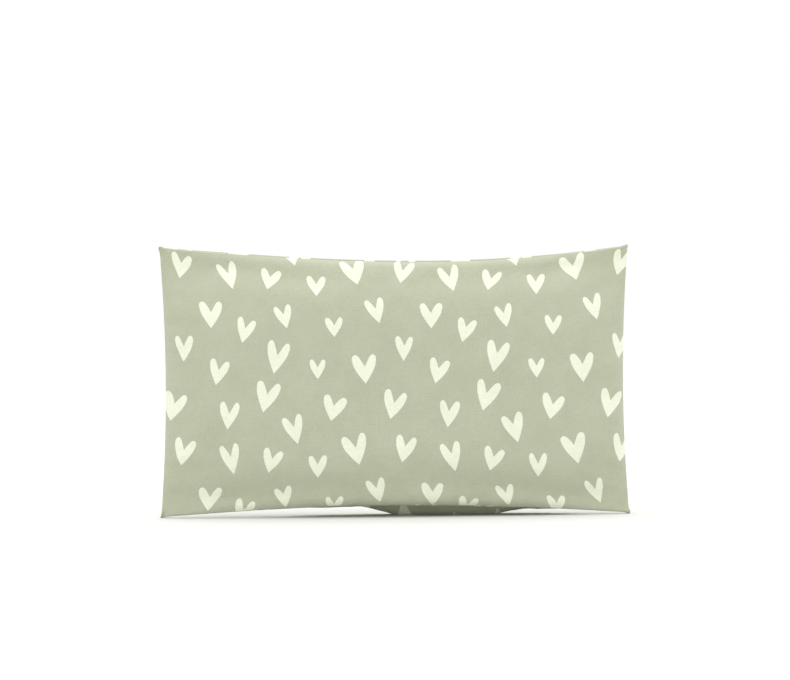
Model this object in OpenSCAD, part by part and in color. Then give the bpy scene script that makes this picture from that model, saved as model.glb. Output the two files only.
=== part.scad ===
// A soft eye pillow: a sewn canvas cover with a muslin liner bag inside it, filled with seed.
// It stands on its lower long edge. X runs along its width, the front faces -Y and Z is up.
// The origin is on the floor, in the middle of the bounding box. Sizes are in millimetres.

/* [Cover] */
// Width between the side corners
cover_w = 178; // [140:1:260]
// Height between the lower and the upper corners
cover_h = 103; // [80:1:140]
// How far the front panel swells out from the seam plane
front_bulge = 13.5; // [8:0.5:20]
// How far the back panel swells out from the seam plane
back_bulge = 14.5; // [8:0.5:20]
// Thickness of the cotton canvas
canvas_t = 0.6; // [0.4:0.05:1]
// Width of the seam allowance, pressed open inside the cover
cover_allowance = 8; // [5:0.5:12]

/* [Edge pull] */
// How far the middle of the top edge dips below its corners
top_dip = 4.6; // [0:0.1:8]
// How far the middle of the lower edge lifts off the floor
bottom_lift = 4; // [1:0.1:6]
// How far the middle of each side pulls in
side_pull = 2.2; // [0:0.1:5]

/* [Stance] */
// How far the lower seam rolls forward of the seam plane
seam_forward = 7; // [3:0.5:9]
// How strongly the back panel's belly sags towards the floor
belly_drop = 22; // [18:0.5:24]

/* [Liner] */
// How much smaller the liner bag is than the inside of the cover, on each side
liner_inset = 3; // [2:0.5:6]
// Thickness of the muslin
muslin_t = 0.4; // [0.25:0.05:0.6]
// Width of the liner's seam allowance, pressed open inside it
liner_allowance = 6; // [4:0.5:8]

/* [Fill] */
// How much smaller the mass of seed is than the inside of the liner and its stitch line, on each side
fill_inset = 1.6; // [1:0.1:4]

/* [Thread] */
// Diameter of the sewing thread
thread_d = 0.4; // [0.3:0.05:0.6]
// Length of one stitch
stitch_l = 2; // [1:0.25:2.25]
// Distance from one closing stitch to the next
stitch_pitch = 3; // [2.5:0.25:5]
// Length of the turning gap, closed by hand, in the cover's lower seam
turning_gap = 60; // [40:1:80]
// Length of the filling gap, closed by machine, in the liner's upper seam
filling_gap = 45; // [30:1:60]

/* [Hidden] */

front = -1;
back = 1;
cloth_gap = 0.3;          // air between two layers that only lie on each other
seam_gap = 0.05;          // half of the gap where two sewn edges meet
thread_seat = thread_d / 2 + 0.5;   // from the inner end of a sewn edge to the stitch line
thread_lift = 0.1;        // from the seam plane to each of the seam's two threads
thread_forward = 0.75 * thread_d;   // how far the belly pushes the lower stitch line forward
ring_sides = 64;          // points around each ring of a panel
thread_sides = 6;
corner_power = 14;        // how tightly a round corner turns
rings_outward = [0.2, 0.38, 0.54, 0.68, 0.8, 0.89, 0.95, 0.978, 0.992, 1];

cover_edge = 2 * canvas_t;                               // a panel and its allowance
liner_plan = cover_edge + liner_inset;
liner_thin = cover_edge + cloth_gap;
liner_edge = 2 * muslin_t;
fill_plan = liner_plan + liner_edge + thread_d + fill_inset;
fill_thin = liner_thin + liner_edge + cloth_gap;
cover_band = 1 - cover_allowance / (cover_h / 2);        // the ring where an allowance ends
liner_band = 1 - (liner_plan + liner_allowance) / (cover_h / 2);

// How full the pillow is at a place across it: 0 at a seam, 1 in the middle, steep near the seam
function swell(t) = pow(max(0, 1 - pow(abs(t), 4)), 0.75);

// Fades a pull out towards the corners
function mid_weight(u) = 1 - pow(u, 4);

// How strongly the belly sags: 1 at the lower seam, 0 above the middle
function low_weight(v) = pow(max(0, (0.5 - v) / 1.5), 1.5);

// A point midway between the panels. u runs -1 to 1 along X, v runs -1 to 1 upwards, and plan is
// how far inside the cover's edge the outline lies.
function plane_point(u, v, plan) =
    let (
        low = plan + bottom_lift * mid_weight(u),
        high = cover_h - plan - top_dip * mid_weight(u)
    )
    [
        (cover_w / 2 - plan - side_pull * (1 - v * v)) * u,
        -seam_forward * mid_weight(u) * pow(max(0, -v), 2),
        low + (high - low) * (v + 1) / 2
    ];

// The same point carried out to one face of a layer. thin is how much less than the cover it swells.
function face_point(u, v, side, plan, thin) =
    let (
        middle = plane_point(u, v, plan),
        fullness = swell(u) * swell(v),
        bulge = (side == front ? front_bulge : back_bulge) - thin,
        sag = side == back ? belly_drop * sqrt(fullness) * low_weight(v) * (1 - u * u) : 0
    )
    [middle[0], middle[1] + side * bulge * fullness, max(thin, middle[2] - sag)];

// Centres the pillow front to back
heights = [-1 : 0.05 : 1];
front_reach = min([for (v = heights) face_point(0, v, front, 0, 0)[1]]);
back_reach = max([for (v = heights) face_point(0, v, back, 0, 0)[1]]);
centre_y = -(front_reach + back_reach) / 2;

// A share k of the way round the unit square, from its lower left corner
function square_point(k) =
    let (side = floor(k * 4), along = 2 * (k * 4 - side) - 1)
    side == 0 ? [along, -1] : side == 1 ? [1, along] : side == 2 ? [-along, 1] : [-1, -along];

// The same place on an outline with its corners cut round, as a stitch line or a full bag turns them
function round_point(k) =
    let (p = square_point(k))
    p / pow(pow(abs(p[0]), corner_power) + pow(abs(p[1]), corner_power), 1 / corner_power);

function ring(scale, side, plan, thin, corners) =
    [for (i = [0 : ring_sides - 1])
        let (p = scale * (corners == "sharp" ? square_point(i / ring_sides) : round_point(i / ring_sides)))
        face_point(p[0], p[1], side, plan, thin)];

// The faces between two rows of a surface, from start on, that close on themselves after count points
function row_faces(start, count) =
    [for (i = [0 : count - 1])
        let (next = (i + 1) % count)
        each [
            [start + i, start + count + next, start + count + i],
            [start + i, start + next, start + count + next]
        ]];

// Skins a list of rings between a first point and a last one
module ring_solid(first, rings, last, side = front) {
    count = ring_sides;
    last_ring = 1 + (len(rings) - 1) * count;
    end = last_ring + count;
    faces = concat(
        [for (i = [0 : count - 1]) [0, 1 + (i + 1) % count, 1 + i]],
        [for (r = [0 : len(rings) - 2]) each row_faces(1 + r * count, count)],
        [for (i = [0 : count - 1]) [end, last_ring + i, last_ring + (i + 1) % count]]
    );
    translate([0, centre_y, 0])
        polyhedron(
            concat([first], [for (r = rings) each r], [last]),
            side == front ? faces : [for (f = faces) [f[2], f[1], f[0]]]
        );
}

// A sewn panel: its outer face runs out to the seam, and its inner face runs back over the seam
// allowance, which lies flat against the panel, and then over the cloth alone
module panel(side, plan, thin, cloth, band, corners) {
    rings_inward = [for (i = [len(rings_outward) - 1 : -1 : 0]) rings_outward[i]];
    rings = concat(
        [for (s = rings_outward) ring(s, side, plan, thin, corners)],
        [for (s = rings_inward) if (s > band) ring(s, side, plan + 2 * cloth, thin + 2 * cloth, corners)],
        [ring(band, side, plan + 2 * cloth, thin + 2 * cloth, corners)],
        [ring(band, side, plan + cloth, thin + cloth, corners)],
        [for (s = rings_inward) if (s < band) ring(s, side, plan + cloth, thin + cloth, corners)]
    );
    outer_middle = face_point(0, 0, side, plan, thin);
    inner_middle = face_point(0, 0, side, plan + cloth, thin + cloth);
    translate([0, side * seam_gap, 0]) ring_solid(outer_middle, rings, inner_middle, side);
}

// One of the two threads of a machine seam: a closed loop beside the seam plane
module seam_loop(side, plan) {
    path = [for (i = [0 : ring_sides - 1])
        let (
            p = round_point(i / ring_sides),
            push = thread_forward * mid_weight(p[0]) * pow(max(0, -p[1]), 2)
        )
        plane_point(p[0], p[1], plan) + [0, side * (thread_d / 2 + thread_lift) - push, 0]];
    points = [for (i = [0 : ring_sides - 1])
        let (
            ahead = path[(i + 1) % ring_sides] - path[(i + ring_sides - 1) % ring_sides],
            out = [ahead[2], 0, -ahead[0]] / norm([ahead[2], 0, -ahead[0]])
        )
        for (j = [0 : thread_sides - 1])
            let (a = 360 * j / thread_sides)
            path[i] + thread_d / 2 * (cos(a) * out + sin(a) * [0, 1, 0])];
    faces = [for (i = [0 : ring_sides - 1]) for (j = [0 : thread_sides - 1])
        let (
            a = i * thread_sides,
            b = (i + 1) % ring_sides * thread_sides,
            next = (j + 1) % thread_sides
        )
        each [[a + j, b + next, b + j], [a + j, a + next, b + next]]];
    translate([0, centre_y, 0]) polyhedron(points, faces);
}

// A row of separate stitches along X, centred on x = 0 and lying just outside a seam
module stitch_row(length, edge, plan, out_z) {
    count = floor(length / stitch_pitch);
    for (i = [0 : count - 1]) {
        x = (i - (count - 1) / 2) * stitch_pitch;
        seat = plane_point(x / (cover_w / 2 - plan), edge, plan);
        translate([x - stitch_l / 2, centre_y + seat[1] - thread_d, seat[2] + out_z])
            rotate([0, 90, 0]) cylinder(h = stitch_l, d = thread_d, $fn = 24);
    }
}

module front_panel() {
    color("#bec3a8") panel(front, 0, 0, canvas_t, cover_band, "sharp");
}

module back_panel() {
    color("#b9bea2") panel(back, 0, 0, canvas_t, cover_band, "sharp");
}

module cover_seam_thread() {
    color("#d2d5bf") for (side = [front, back]) seam_loop(side, cover_edge + thread_seat);
}

module closing_stitches() {
    color("#d2d5bf") stitch_row(turning_gap, -1, 0, -thread_d);
}

module liner_front() {
    color("#efe9d8") panel(front, liner_plan, liner_thin, muslin_t, liner_band, "round");
}

module liner_back() {
    color("#e9e3d1") panel(back, liner_plan, liner_thin, muslin_t, liner_band, "round");
}

module liner_seam_thread() {
    color("#f7f4ea") for (side = [front, back]) seam_loop(side, liner_plan + liner_edge + thread_seat);
}

module liner_closing_stitches() {
    color("#f7f4ea") stitch_row(filling_gap, 1, liner_plan, thread_d);
}

module seed_fill() {
    rings_inward = [for (i = [len(rings_outward) - 2 : -1 : 0]) rings_outward[i]];
    rings = concat(
        [for (s = rings_outward) ring(s, front, fill_plan, fill_thin, "round")],
        [for (s = rings_inward) ring(s, back, fill_plan, fill_thin, "round")]
    );
    front_middle = face_point(0, 0, front, fill_plan, fill_thin);
    back_middle = face_point(0, 0, back, fill_plan, fill_thin);
    color("#8a5a36") ring_solid(front_middle, rings, back_middle);
}

front_panel();
back_panel();
cover_seam_thread();
closing_stitches();
liner_front();
liner_back();
liner_seam_thread();
liner_closing_stitches();
seed_fill();
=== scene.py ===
import math
import random

import bpy
import numpy as np
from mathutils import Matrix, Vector
from mathutils.geometry import delaunay_2d_cdt
from mathutils.kdtree import KDTree


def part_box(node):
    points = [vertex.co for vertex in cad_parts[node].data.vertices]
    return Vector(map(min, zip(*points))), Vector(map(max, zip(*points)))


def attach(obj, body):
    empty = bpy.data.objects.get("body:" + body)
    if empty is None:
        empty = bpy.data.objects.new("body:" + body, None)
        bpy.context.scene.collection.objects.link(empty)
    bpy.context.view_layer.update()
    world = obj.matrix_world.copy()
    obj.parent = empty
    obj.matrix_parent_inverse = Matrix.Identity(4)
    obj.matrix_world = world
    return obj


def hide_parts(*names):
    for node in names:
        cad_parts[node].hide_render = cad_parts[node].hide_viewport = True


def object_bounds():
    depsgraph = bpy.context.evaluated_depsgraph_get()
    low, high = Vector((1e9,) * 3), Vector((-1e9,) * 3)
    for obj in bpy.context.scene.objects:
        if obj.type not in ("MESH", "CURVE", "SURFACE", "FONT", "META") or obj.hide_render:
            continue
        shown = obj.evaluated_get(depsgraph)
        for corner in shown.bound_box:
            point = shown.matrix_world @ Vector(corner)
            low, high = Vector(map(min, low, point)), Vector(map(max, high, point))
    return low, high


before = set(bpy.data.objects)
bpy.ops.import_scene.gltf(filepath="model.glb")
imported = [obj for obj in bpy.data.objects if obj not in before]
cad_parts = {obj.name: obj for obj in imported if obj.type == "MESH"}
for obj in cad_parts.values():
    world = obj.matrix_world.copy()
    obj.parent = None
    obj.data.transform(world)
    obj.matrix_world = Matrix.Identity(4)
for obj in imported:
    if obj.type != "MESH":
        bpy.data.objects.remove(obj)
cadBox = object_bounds()  # the CAD model's own box
mm = 0.001
front, back = -1, 1  # the sides of the pillow along Y

# The finished sizes come from the frame, so the cloth follows the CAD model.
coverLow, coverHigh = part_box("front_panel")
coverWidth = coverHigh.x - coverLow.x
coverHeight = coverHigh.z - coverLow.z
linerLow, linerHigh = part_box("liner_front")
linerInset = (coverWidth - (linerHigh.x - linerLow.x)) / 2
fillLow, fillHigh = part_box("seed_fill")
fillInset = (coverWidth - (fillHigh.x - fillLow.x)) / 2
print("frame loaded")

inflation = {
    "columns": 90,
    "rows": 52,            # cells of about 2 mm
    "solverScale": 12,     # the cloth solver is steadier on a larger copy
    "volume": 300e-6,      # cubic metres inside the cover
    "pressure": 4.0,
    "stretch": 200.0,
    "squeeze": 20.0,
    "shear": 15.0,
    "bend": 0.2,
    "damping": 5,
    "clothMass": 0.3,
    "solverSteps": 8,
    "frames": 22,
    "startSwell": 19 * mm,   # how far each panel stands out before the run
    "startRoundAcross": 0.6,   # how squarely that swell fills out towards the ends
    "startRoundUp": 0.8,       # and towards the top and bottom
    "startSidePull": 1.5 * mm,
    "startEdgePull": 4.5 * mm,
    "slackEnds": 0.7,      # the seed presses less towards the ends and the top
    "slackTop": 0.15,
}

stance = {
    "depthLimit": 14.2 * mm,   # the seed packs flat, so the swell levels out towards this
    "depthGain": 1.3,          # and rises faster near the edges
    "topSink": 0.7 * mm,       # how far its own weight lowers the top seam
    "topDip": 5.7 * mm,        # how far the filling draws in the middle of each edge
    "topSkew": 0.25,           # the top dips a little more to the right than to the left
    "bottomLift": 4.4 * mm,
    "sidePull": 2.1 * mm,
    "spreadUp": 2.4 * mm,      # how far the filling pushes the cloth of each half outward again
    "spreadDown": 3.6 * mm,
    "spreadFade": 10,          # a higher power keeps it away from the edge
    "edgeFadeUp": 8,           # how fast the drawing in of the edges dies away inward
    "edgeFadeAcross": 6,
    "seamForward": 7 * mm,     # how far the lower seam rolls forward
    "seamForwardFade": 2,
    "topForward": 1.2 * mm,
    "topForwardFade": 6,
    "bellySag": 40 * mm,       # how strongly the back sags where the pillow stands on it
    "sagFrom": -10 * mm,       # that stretch along X, and how softly it begins and ends
    "sagTo": 46 * mm,
    "sagSoft": 48 * mm,
    "sagTop": 0.5,             # the sag begins here, as a share of the half height, and grows downward
    "sagFade": 1.5,
    "contactFrom": 5 * mm,     # the part of it that reaches the floor
    "contactTo": 32 * mm,
    "contactSoft": 20 * mm,
    "archShare": 0.9,          # beside it the underside stays above this share of the lifted seam
    "ledgeFrom": -0.94,        # where the sag sets in behind the seam, as a share of the half height
    "ledgeTo": -0.64,
    "cornerSmooth": 10 * mm,   # the cloth is drawn smooth this far from each corner
    "cornerPasses": 8,
    "floorSoft": 0.6 * mm,     # how gently the cloth meets the floor
    "topRoll": 22.0,           # degrees that the seam faces forward along the top
    "lowRoll": 15.0,           # degrees that it faces backward along the bottom
    "rollFade": 8,             # how close to the seam that turning stays
}


def smoothStep(value, start, end):
    t = np.clip((value - start) / (end - start), 0, 1)
    return t * t * (3 - 2 * t)


def stretchWeight(value, start, end, soft):
    # 1 between start and end, falling softly to 0 outside them
    return smoothStep(value, start - soft, start) * (1 - smoothStep(value, end, end + soft))


def clothGrid(width, height):
    u, v = np.meshgrid(
        np.linspace(-1, 1, inflation["columns"] + 1), np.linspace(-1, 1, inflation["rows"] + 1)
    )
    return u, v, u * width / 2, v * height / 2


def startShape(width, height):
    # a plain swollen guess, which the cloth run then settles
    u, v, x, z = clothGrid(width, height)
    swell = inflation["startSwell"] * (1 - u**2) ** inflation["startRoundAcross"]
    swell = swell * (1 - v**2) ** inflation["startRoundUp"]
    x = x - u * inflation["startSidePull"] * (1 - v**2)
    z = z - v * inflation["startEdgePull"] * (1 - u**2)
    return [np.stack([x, side * swell, z], -1) for side in (front, back)]


def inflate(width, height):
    # two flat panels sewn along their edges, blown up to the volume of the filling
    u, v, x, z = clothGrid(width, height)
    start = startShape(width, height)
    flat = np.stack([x, 0 * x, z], -1)
    inner = np.zeros(x.shape, bool)
    inner[1:-1, 1:-1] = True
    frontIndex = np.arange(x.size).reshape(x.shape)
    backIndex = frontIndex.copy()
    backIndex[inner] = x.size + np.arange(inner.sum())
    points = np.concatenate([start[0].reshape(-1, 3), start[1][inner]])
    rest = np.concatenate([flat.reshape(-1, 3), flat[inner]])
    faces = []
    for index, order in ((frontIndex, 1), (backIndex, -1)):
        quads = np.stack([index[:-1, :-1], index[:-1, 1:], index[1:, 1:], index[1:, :-1]], -1)
        faces.append(quads.reshape(-1, 4)[:, ::order])
    scale = inflation["solverScale"]
    mesh = bpy.data.meshes.new("blownCover")
    mesh.from_pydata((points * scale).tolist(), [], np.concatenate(faces).tolist())
    cover = bpy.data.objects.new("blownCover", mesh)
    bpy.context.scene.collection.objects.link(cover)
    cover.shape_key_add(name="Basis")
    flatKey = cover.shape_key_add(name="flat")
    flatKey.data.foreach_set("co", (rest * scale).astype(np.float32).ravel())
    flatKey.value = 0
    across = np.concatenate([u.ravel(), u[inner]])
    up = np.concatenate([v.ravel(), v[inner]])
    press = (1 - inflation["slackEnds"] * across**2) * (1 - inflation["slackTop"] * (up + 1) / 2)
    group = cover.vertex_groups.new(name="seedPress")
    for index, weight in enumerate(press):
        group.add([index], float(weight), "REPLACE")
    cloth = cover.modifiers.new("Cloth", "CLOTH")
    cloth.collision_settings.use_collision = False
    s = cloth.settings
    s.quality = inflation["solverSteps"]
    s.mass = inflation["clothMass"]
    s.tension_stiffness = inflation["stretch"]
    s.compression_stiffness = inflation["squeeze"]
    s.shear_stiffness = inflation["shear"]
    s.bending_stiffness = inflation["bend"]
    s.tension_damping = inflation["damping"]
    s.compression_damping = inflation["damping"]
    s.shear_damping = inflation["damping"]
    s.rest_shape_key = flatKey
    s.use_pressure = True
    s.use_pressure_volume = True
    s.uniform_pressure_force = 0
    s.target_volume = inflation["volume"] * scale**3
    s.pressure_factor = inflation["pressure"]
    s.vertex_group_pressure = "seedPress"
    s.effector_weights.gravity = 0
    frames = inflation["frames"]
    cloth.point_cache.frame_start, cloth.point_cache.frame_end = 1, frames
    for number in range(1, frames + 1):
        bpy.context.scene.frame_set(number)
    shown = cover.evaluated_get(bpy.context.evaluated_depsgraph_get()).data
    settled = np.empty(len(shown.vertices) * 3, np.float32)
    shown.vertices.foreach_get("co", settled)
    settled = settled.reshape(-1, 3).astype(float) / scale
    bpy.data.objects.remove(cover)
    bpy.data.meshes.remove(mesh)
    return [settled[frontIndex], settled[backIndex]]


def restOnFloor(height, lowest, soft):
    # never under lowest, and smooth where it comes down to it
    t = (height - lowest) / soft
    clear = 20  # this many softnesses above the floor it has no effect any more
    return lowest + soft * np.where(t > clear, t, np.log1p(np.exp(np.minimum(t, clear))))


def drawEdges(grids, width, lowest, highest):
    # brings the seam line onto even curves between the corners, and the cloth near it by less and less
    u, v, _, _ = clothGrid(1, 1)
    rim = grids[0].copy()
    low = lowest + stance["bottomLift"] * (1 - u[0]**2) - rim[0, :, 2]
    dip = stance["topDip"] * (1 - u[0]**2) * (1 + stance["topSkew"] * u[0])
    high = highest - dip - rim[-1, :, 2]
    side = width / 2 - stance["sidePull"] * (1 - v[:, 0]**2)
    left, right = -side - rim[:, 0, 0], side - rim[:, -1, 0]
    fadeUp, fadeAcross = stance["edgeFadeUp"], stance["edgeFadeAcross"]
    for grid in grids:
        grid[..., 2] += low * ((1 - v) / 2) ** fadeUp + high * ((1 + v) / 2) ** fadeUp
        fromLeft, fromRight = ((1 - u) / 2) ** fadeAcross, ((1 + u) / 2) ** fadeAcross
        grid[..., 0] += left[:, None] * fromLeft + right[:, None] * fromRight


def settle(grids, width, lowest, highest):
    # stands the blown cover on its lower edge and lets the back sag to the floor;
    # u and v run from -1 to 1 across and up the cloth
    u, v, _, _ = clothGrid(1, 1)
    limit = stance["depthLimit"]
    corner = np.hypot((1 - np.abs(u)) * width, (1 - np.abs(v)) * (highest - lowest)) / 2
    loose = np.exp(-(corner / stance["cornerSmooth"]) ** 2)[1:-1, 1:-1, None]
    for grid in grids:
        for _ in range(stance["cornerPasses"]):
            around = (grid[:-2, 1:-1] + grid[2:, 1:-1] + grid[1:-1, :-2] + grid[1:-1, 2:]) / 4
            grid[1:-1, 1:-1] += loose * (around - grid[1:-1, 1:-1])
    crossed = np.maximum(grids[0][..., 1] - grids[1][..., 1], 0) / 2
    grids[0][..., 1] -= crossed
    grids[1][..., 1] += crossed
    for grid in grids:
        grid[..., 2] += (lowest + highest) / 2
        grid[..., 1] = limit * np.tanh(grid[..., 1] * stance["depthGain"] / limit)
        grid[..., 1] -= stance["seamForward"] * (1 - u**4) * np.maximum(0, -v) ** stance["seamForwardFade"]
        grid[..., 1] -= stance["topForward"] * (1 - u**4) * np.maximum(0, v) ** stance["topForwardFade"]
        spread = np.where(v > 0, stance["spreadUp"], stance["spreadDown"])
        grid[..., 2] += spread * v * (1 - v ** stance["spreadFade"]) * (1 - u**2)
    drawEdges(grids, width, lowest, highest)
    x = grids[1][..., 0]
    sagging = stretchWeight(x, stance["sagFrom"], stance["sagTo"], stance["sagSoft"])
    touching = stretchWeight(x, stance["contactFrom"], stance["contactTo"], stance["contactSoft"])
    low = (np.maximum(0, stance["sagTop"] - v) / (1 + stance["sagTop"])) ** stance["sagFade"]
    ledge = smoothStep(v, stance["ledgeFrom"], stance["ledgeTo"])
    grids[1][..., 2] -= stance["bellySag"] * ledge * low * sagging * (1 - u**4)
    arch = lowest + stance["archShare"] * stance["bottomLift"] * (1 - u**2) * (1 - touching)
    soft = stance["floorSoft"]
    for grid in grids:
        grid[..., 2] = restOnFloor(grid[..., 2], arch - soft * math.log(2), soft)
    return grids


def gridReader(grid, width, height):
    # reads the grid smoothly at any flat place (a, b) measured from the middle of the cloth
    rows, columns = grid.shape[:2]
    wide = np.concatenate([2 * grid[:, :1] - grid[:, 1:2], grid, 2 * grid[:, -1:] - grid[:, -2:-1]], 1)
    wide = np.concatenate([2 * wide[:1] - wide[1:2], wide, 2 * wide[-1:] - wide[-2:-1]], 0)

    def weights(t):
        return (
            -0.5 * t + t**2 - 0.5 * t**3, 1 - 2.5 * t**2 + 1.5 * t**3,
            0.5 * t + 2 * t**2 - 1.5 * t**3, -0.5 * t**2 + 0.5 * t**3,
        )

    def read(a, b):
        column = np.clip((a / width + 0.5) * (columns - 1), 0, columns - 1)
        row = np.clip((b / height + 0.5) * (rows - 1), 0, rows - 1)
        i = np.minimum(column.astype(int), columns - 2)
        j = np.minimum(row.astype(int), rows - 2)
        acrossWeights, upWeights = weights(column - i), weights(row - j)
        total = 0
        for n, upWeight in enumerate(upWeights):
            line = sum(w[..., None] * wide[j + n, i + m] for m, w in enumerate(acrossWeights))
            total = total + upWeight[..., None] * line
        return total

    return read


def unit(vectors):
    return vectors / np.maximum(np.linalg.norm(vectors, axis=-1, keepdims=True), 1e-12)


def slopes(read, a, b, halfWidth, halfHeight, step=0.4 * mm):
    # the directions along the cloth, across and up, taken inside its edges
    a0, a1 = np.clip(a - step, -halfWidth, halfWidth), np.clip(a + step, -halfWidth, halfWidth)
    b0, b1 = np.clip(b - step, -halfHeight, halfHeight), np.clip(b + step, -halfHeight, halfHeight)
    return unit(read(a1, b) - read(a0, b)), unit(read(a, b1) - read(a, b0))


coverCloth = {
    "thickness": 0.6 * mm,     # cotton canvas
    "allowance": 8 * mm,       # pressed open inside
    "foldRadius": 0.42 * mm,   # of the middle of the cloth where it turns in at the seam
    "cornerEase": 7 * mm,      # the fold is pinched flatter over this much of each corner
    "cornerPinch": 0.9,        # to this share of its radius, so the layers still clear each other
    "cornerPoint": 0.7 * mm,   # the corner is poked out to a point by this
    "grain": 1.5 * mm,         # spacing of the mesh
    "puckerHeight": 0.22 * mm,
    "puckerReach": 7 * mm,
    "puckerStart": 1.5 * mm,   # they begin this far in from the seam
    "lumpHeight": 0.3 * mm,    # the seed shows through as soft lumps
    "lumpMargin": 14 * mm,     # which fade out this near to the seam
    "cornerReach": 1.5 * mm,   # how much of the corner the point takes
}

linerCloth = {
    "thickness": 0.4 * mm,     # cotton muslin
    "allowance": 6 * mm,
    "foldRadius": 0.3 * mm,
    "cornerEase": 7 * mm,
    "cornerPinch": 0.9,
    "cornerPoint": 0.4 * mm,
    "grain": 2.2 * mm,
    "puckerHeight": 0.3 * mm,
    "puckerReach": 9 * mm,
    "puckerStart": 1.5 * mm,
    "lumpHeight": 0.3 * mm,
    "lumpMargin": 14 * mm,
    "cornerReach": 1.5 * mm,
}

linerFit = {
    "gap": 1.3 * mm,         # how much further in the liner's shape lies than the cover's
    "lowest": 1.3 * mm,      # the height above the floor that it never goes under
    "edgeRound": 9 * mm,     # how far in from its edge the liner reaches its full thickness
}

heartPrint = {
    # one repeat of the print: place, width, height and lean in degrees, in millimetres from its middle
    "repeatAcross": 84,
    "repeatUp": 71,
    "hearts": [
        (-70, 26, 9, 10, 0), (-57, 20, 7.5, 9.5, 14), (-42, 25.5, 7, 9, -12), (-23, 21.5, 7, 7.5, 0),
        (-7, 28, 7.5, 10, -14), (-80.5, 13, 7, 9.5, 2), (-67.5, 4, 8, 9.5, 12), (-45, 9.5, 9, 12, 12),
        (-29.5, 5, 6.5, 7.5, 0), (-11.5, 5, 9.5, 11, -3), (-0.5, -9, 9, 10.5, 14), (-63.5, -12.5, 8, 10, 6),
        (-49, -5.5, 9.5, 11.5, 14), (-23.5, -10, 9, 9.5, 12), (-38.5, -18, 8.5, 11, -14),
        (-80.5, -26, 8, 10, 12), (-62.5, -29, 8, 11.5, -12), (-47, -30, 8, 9, 14), (-29.5, -32.5, 7.5, 9, 0),
        (-15, -26, 10, 11.5, -12),
    ],
    "broader": 1.01,      # the hearts are cut this much larger, because the cloth draws in as it fills
    "taller": 1.05,
    "unevenness": 0.05,   # how much each hand-drawn lobe differs, as a share of the heart
}

puckerWaves = [(9.1, 1.0, 0.4), (5.3, 0.6, 2.1), (14.7, 0.6, 4.0)]  # wavelength in mm, share, phase


def lumps(a, b, seed):
    # a sum of slanting waves that never line up, about 1 high at most
    draw = random.Random(seed)
    total = 0
    for _ in range(14):
        wave, turn, phase = draw.uniform(14, 42) * mm, draw.uniform(0, math.pi), draw.uniform(0, 6.3)
        total = total + np.sin((a * math.cos(turn) + b * math.sin(turn)) * 2 * math.pi / wave + phase)
    return total / 7


def puckers(a, b, halfWidth, halfHeight, seed):
    # small waves that the seam draws into the cloth, strongest just inside it
    acrossGap, upGap = halfWidth - np.abs(a), halfHeight - np.abs(b)
    place = np.where(acrossGap < upGap, b, a) / mm
    return sum(
        share * np.sin(2 * math.pi * place / wave + phase + seed + np.sign(np.where(acrossGap < upGap, a, b)))
        for wave, share, phase in puckerWaves
    ) / 2, np.minimum(acrossGap, upGap)


def foldRadiusAt(a, b, halfWidth, halfHeight, cloth):
    # the fold at the seam is a little tighter at the corners
    corner = np.hypot(halfWidth - np.abs(a), halfHeight - np.abs(b))
    return cloth["foldRadius"] * np.maximum(cloth["cornerPinch"], smoothStep(corner, 0, cloth["cornerEase"]))


def seamRoll(a, b, halfWidth, halfHeight):
    # how far the seam is turned about the length of the pillow, in radians
    u, v = a / halfWidth, b / halfHeight
    middle = 1 - np.minimum(1, np.abs(u)) ** 4
    fade = stance["rollFade"]
    forward = stance["topRoll"] * np.maximum(0, v) ** fade
    backward = stance["lowRoll"] * np.maximum(0, -v) ** fade
    return np.radians(middle * (forward - backward))


def panelLayer(read, side, halfWidth, halfHeight, cloth, seed):
    # returns a function that lays flat places of one panel on the pillow, allowance folded in
    half = cloth["thickness"] / 2

    def fold(a, b):
        return foldRadiusAt(a, b, halfWidth, halfHeight, cloth)

    def lay(flatA, flatB):
        footA, footB = np.clip(flatA, -halfWidth, halfWidth), np.clip(flatB, -halfHeight, halfHeight)
        pastA, pastB = np.abs(flatA) - halfWidth, np.abs(flatB) - halfHeight
        past, bySide = np.maximum(0, np.maximum(pastA, pastB)), pastA > pastB
        bend = fold(footA, footB)
        turn = np.minimum(past / bend, math.pi)
        inward = np.maximum(0, past - math.pi * bend)
        a = np.where(bySide, footA - np.sign(footA) * inward, footA)
        b = np.where(bySide, footB, footB - np.sign(footB) * inward)
        bend = np.where(past > 0, fold(a, b), fold(footA, footB))
        across, up = slopes(read, a, b, halfWidth, halfHeight)
        normal = unit(np.cross(across, up) * -side)
        outward = np.where(bySide[..., None], across * np.sign(a)[..., None], up * np.sign(b)[..., None])
        outward = unit(outward - normal * (outward * normal).sum(-1, keepdims=True))
        roll = seamRoll(a, b, halfWidth, halfHeight)
        sideways = side * np.stack([0 * roll, np.cos(roll), np.sin(roll)], -1)
        waves, gap = puckers(a, b, halfWidth, halfHeight, seed)
        fade = np.exp(-gap / cloth["puckerReach"]) * (1 - np.exp(-gap / cloth["puckerStart"]))
        lift = cloth["puckerHeight"] * waves * fade * 2
        lift = lift + cloth["lumpHeight"] * lumps(a, b, seed) * smoothStep(gap, 0, cloth["lumpMargin"])
        facing = np.cos(turn)[..., None] * normal + np.sin(turn)[..., None] * outward
        place = read(a, b) + sideways * (half + bend)[..., None] + bend[..., None] * facing
        place = place + normal * lift[..., None]
        corner = np.hypot(halfWidth - np.abs(a), halfHeight - np.abs(b))
        point = cloth["cornerPoint"] * np.exp(-(corner / cloth["cornerReach"]) ** 2)
        diagonal = unit(np.stack([np.sign(a), 0 * a, np.sign(b)], -1))
        return place + diagonal * point[..., None], unit(facing)

    return lay


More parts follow.
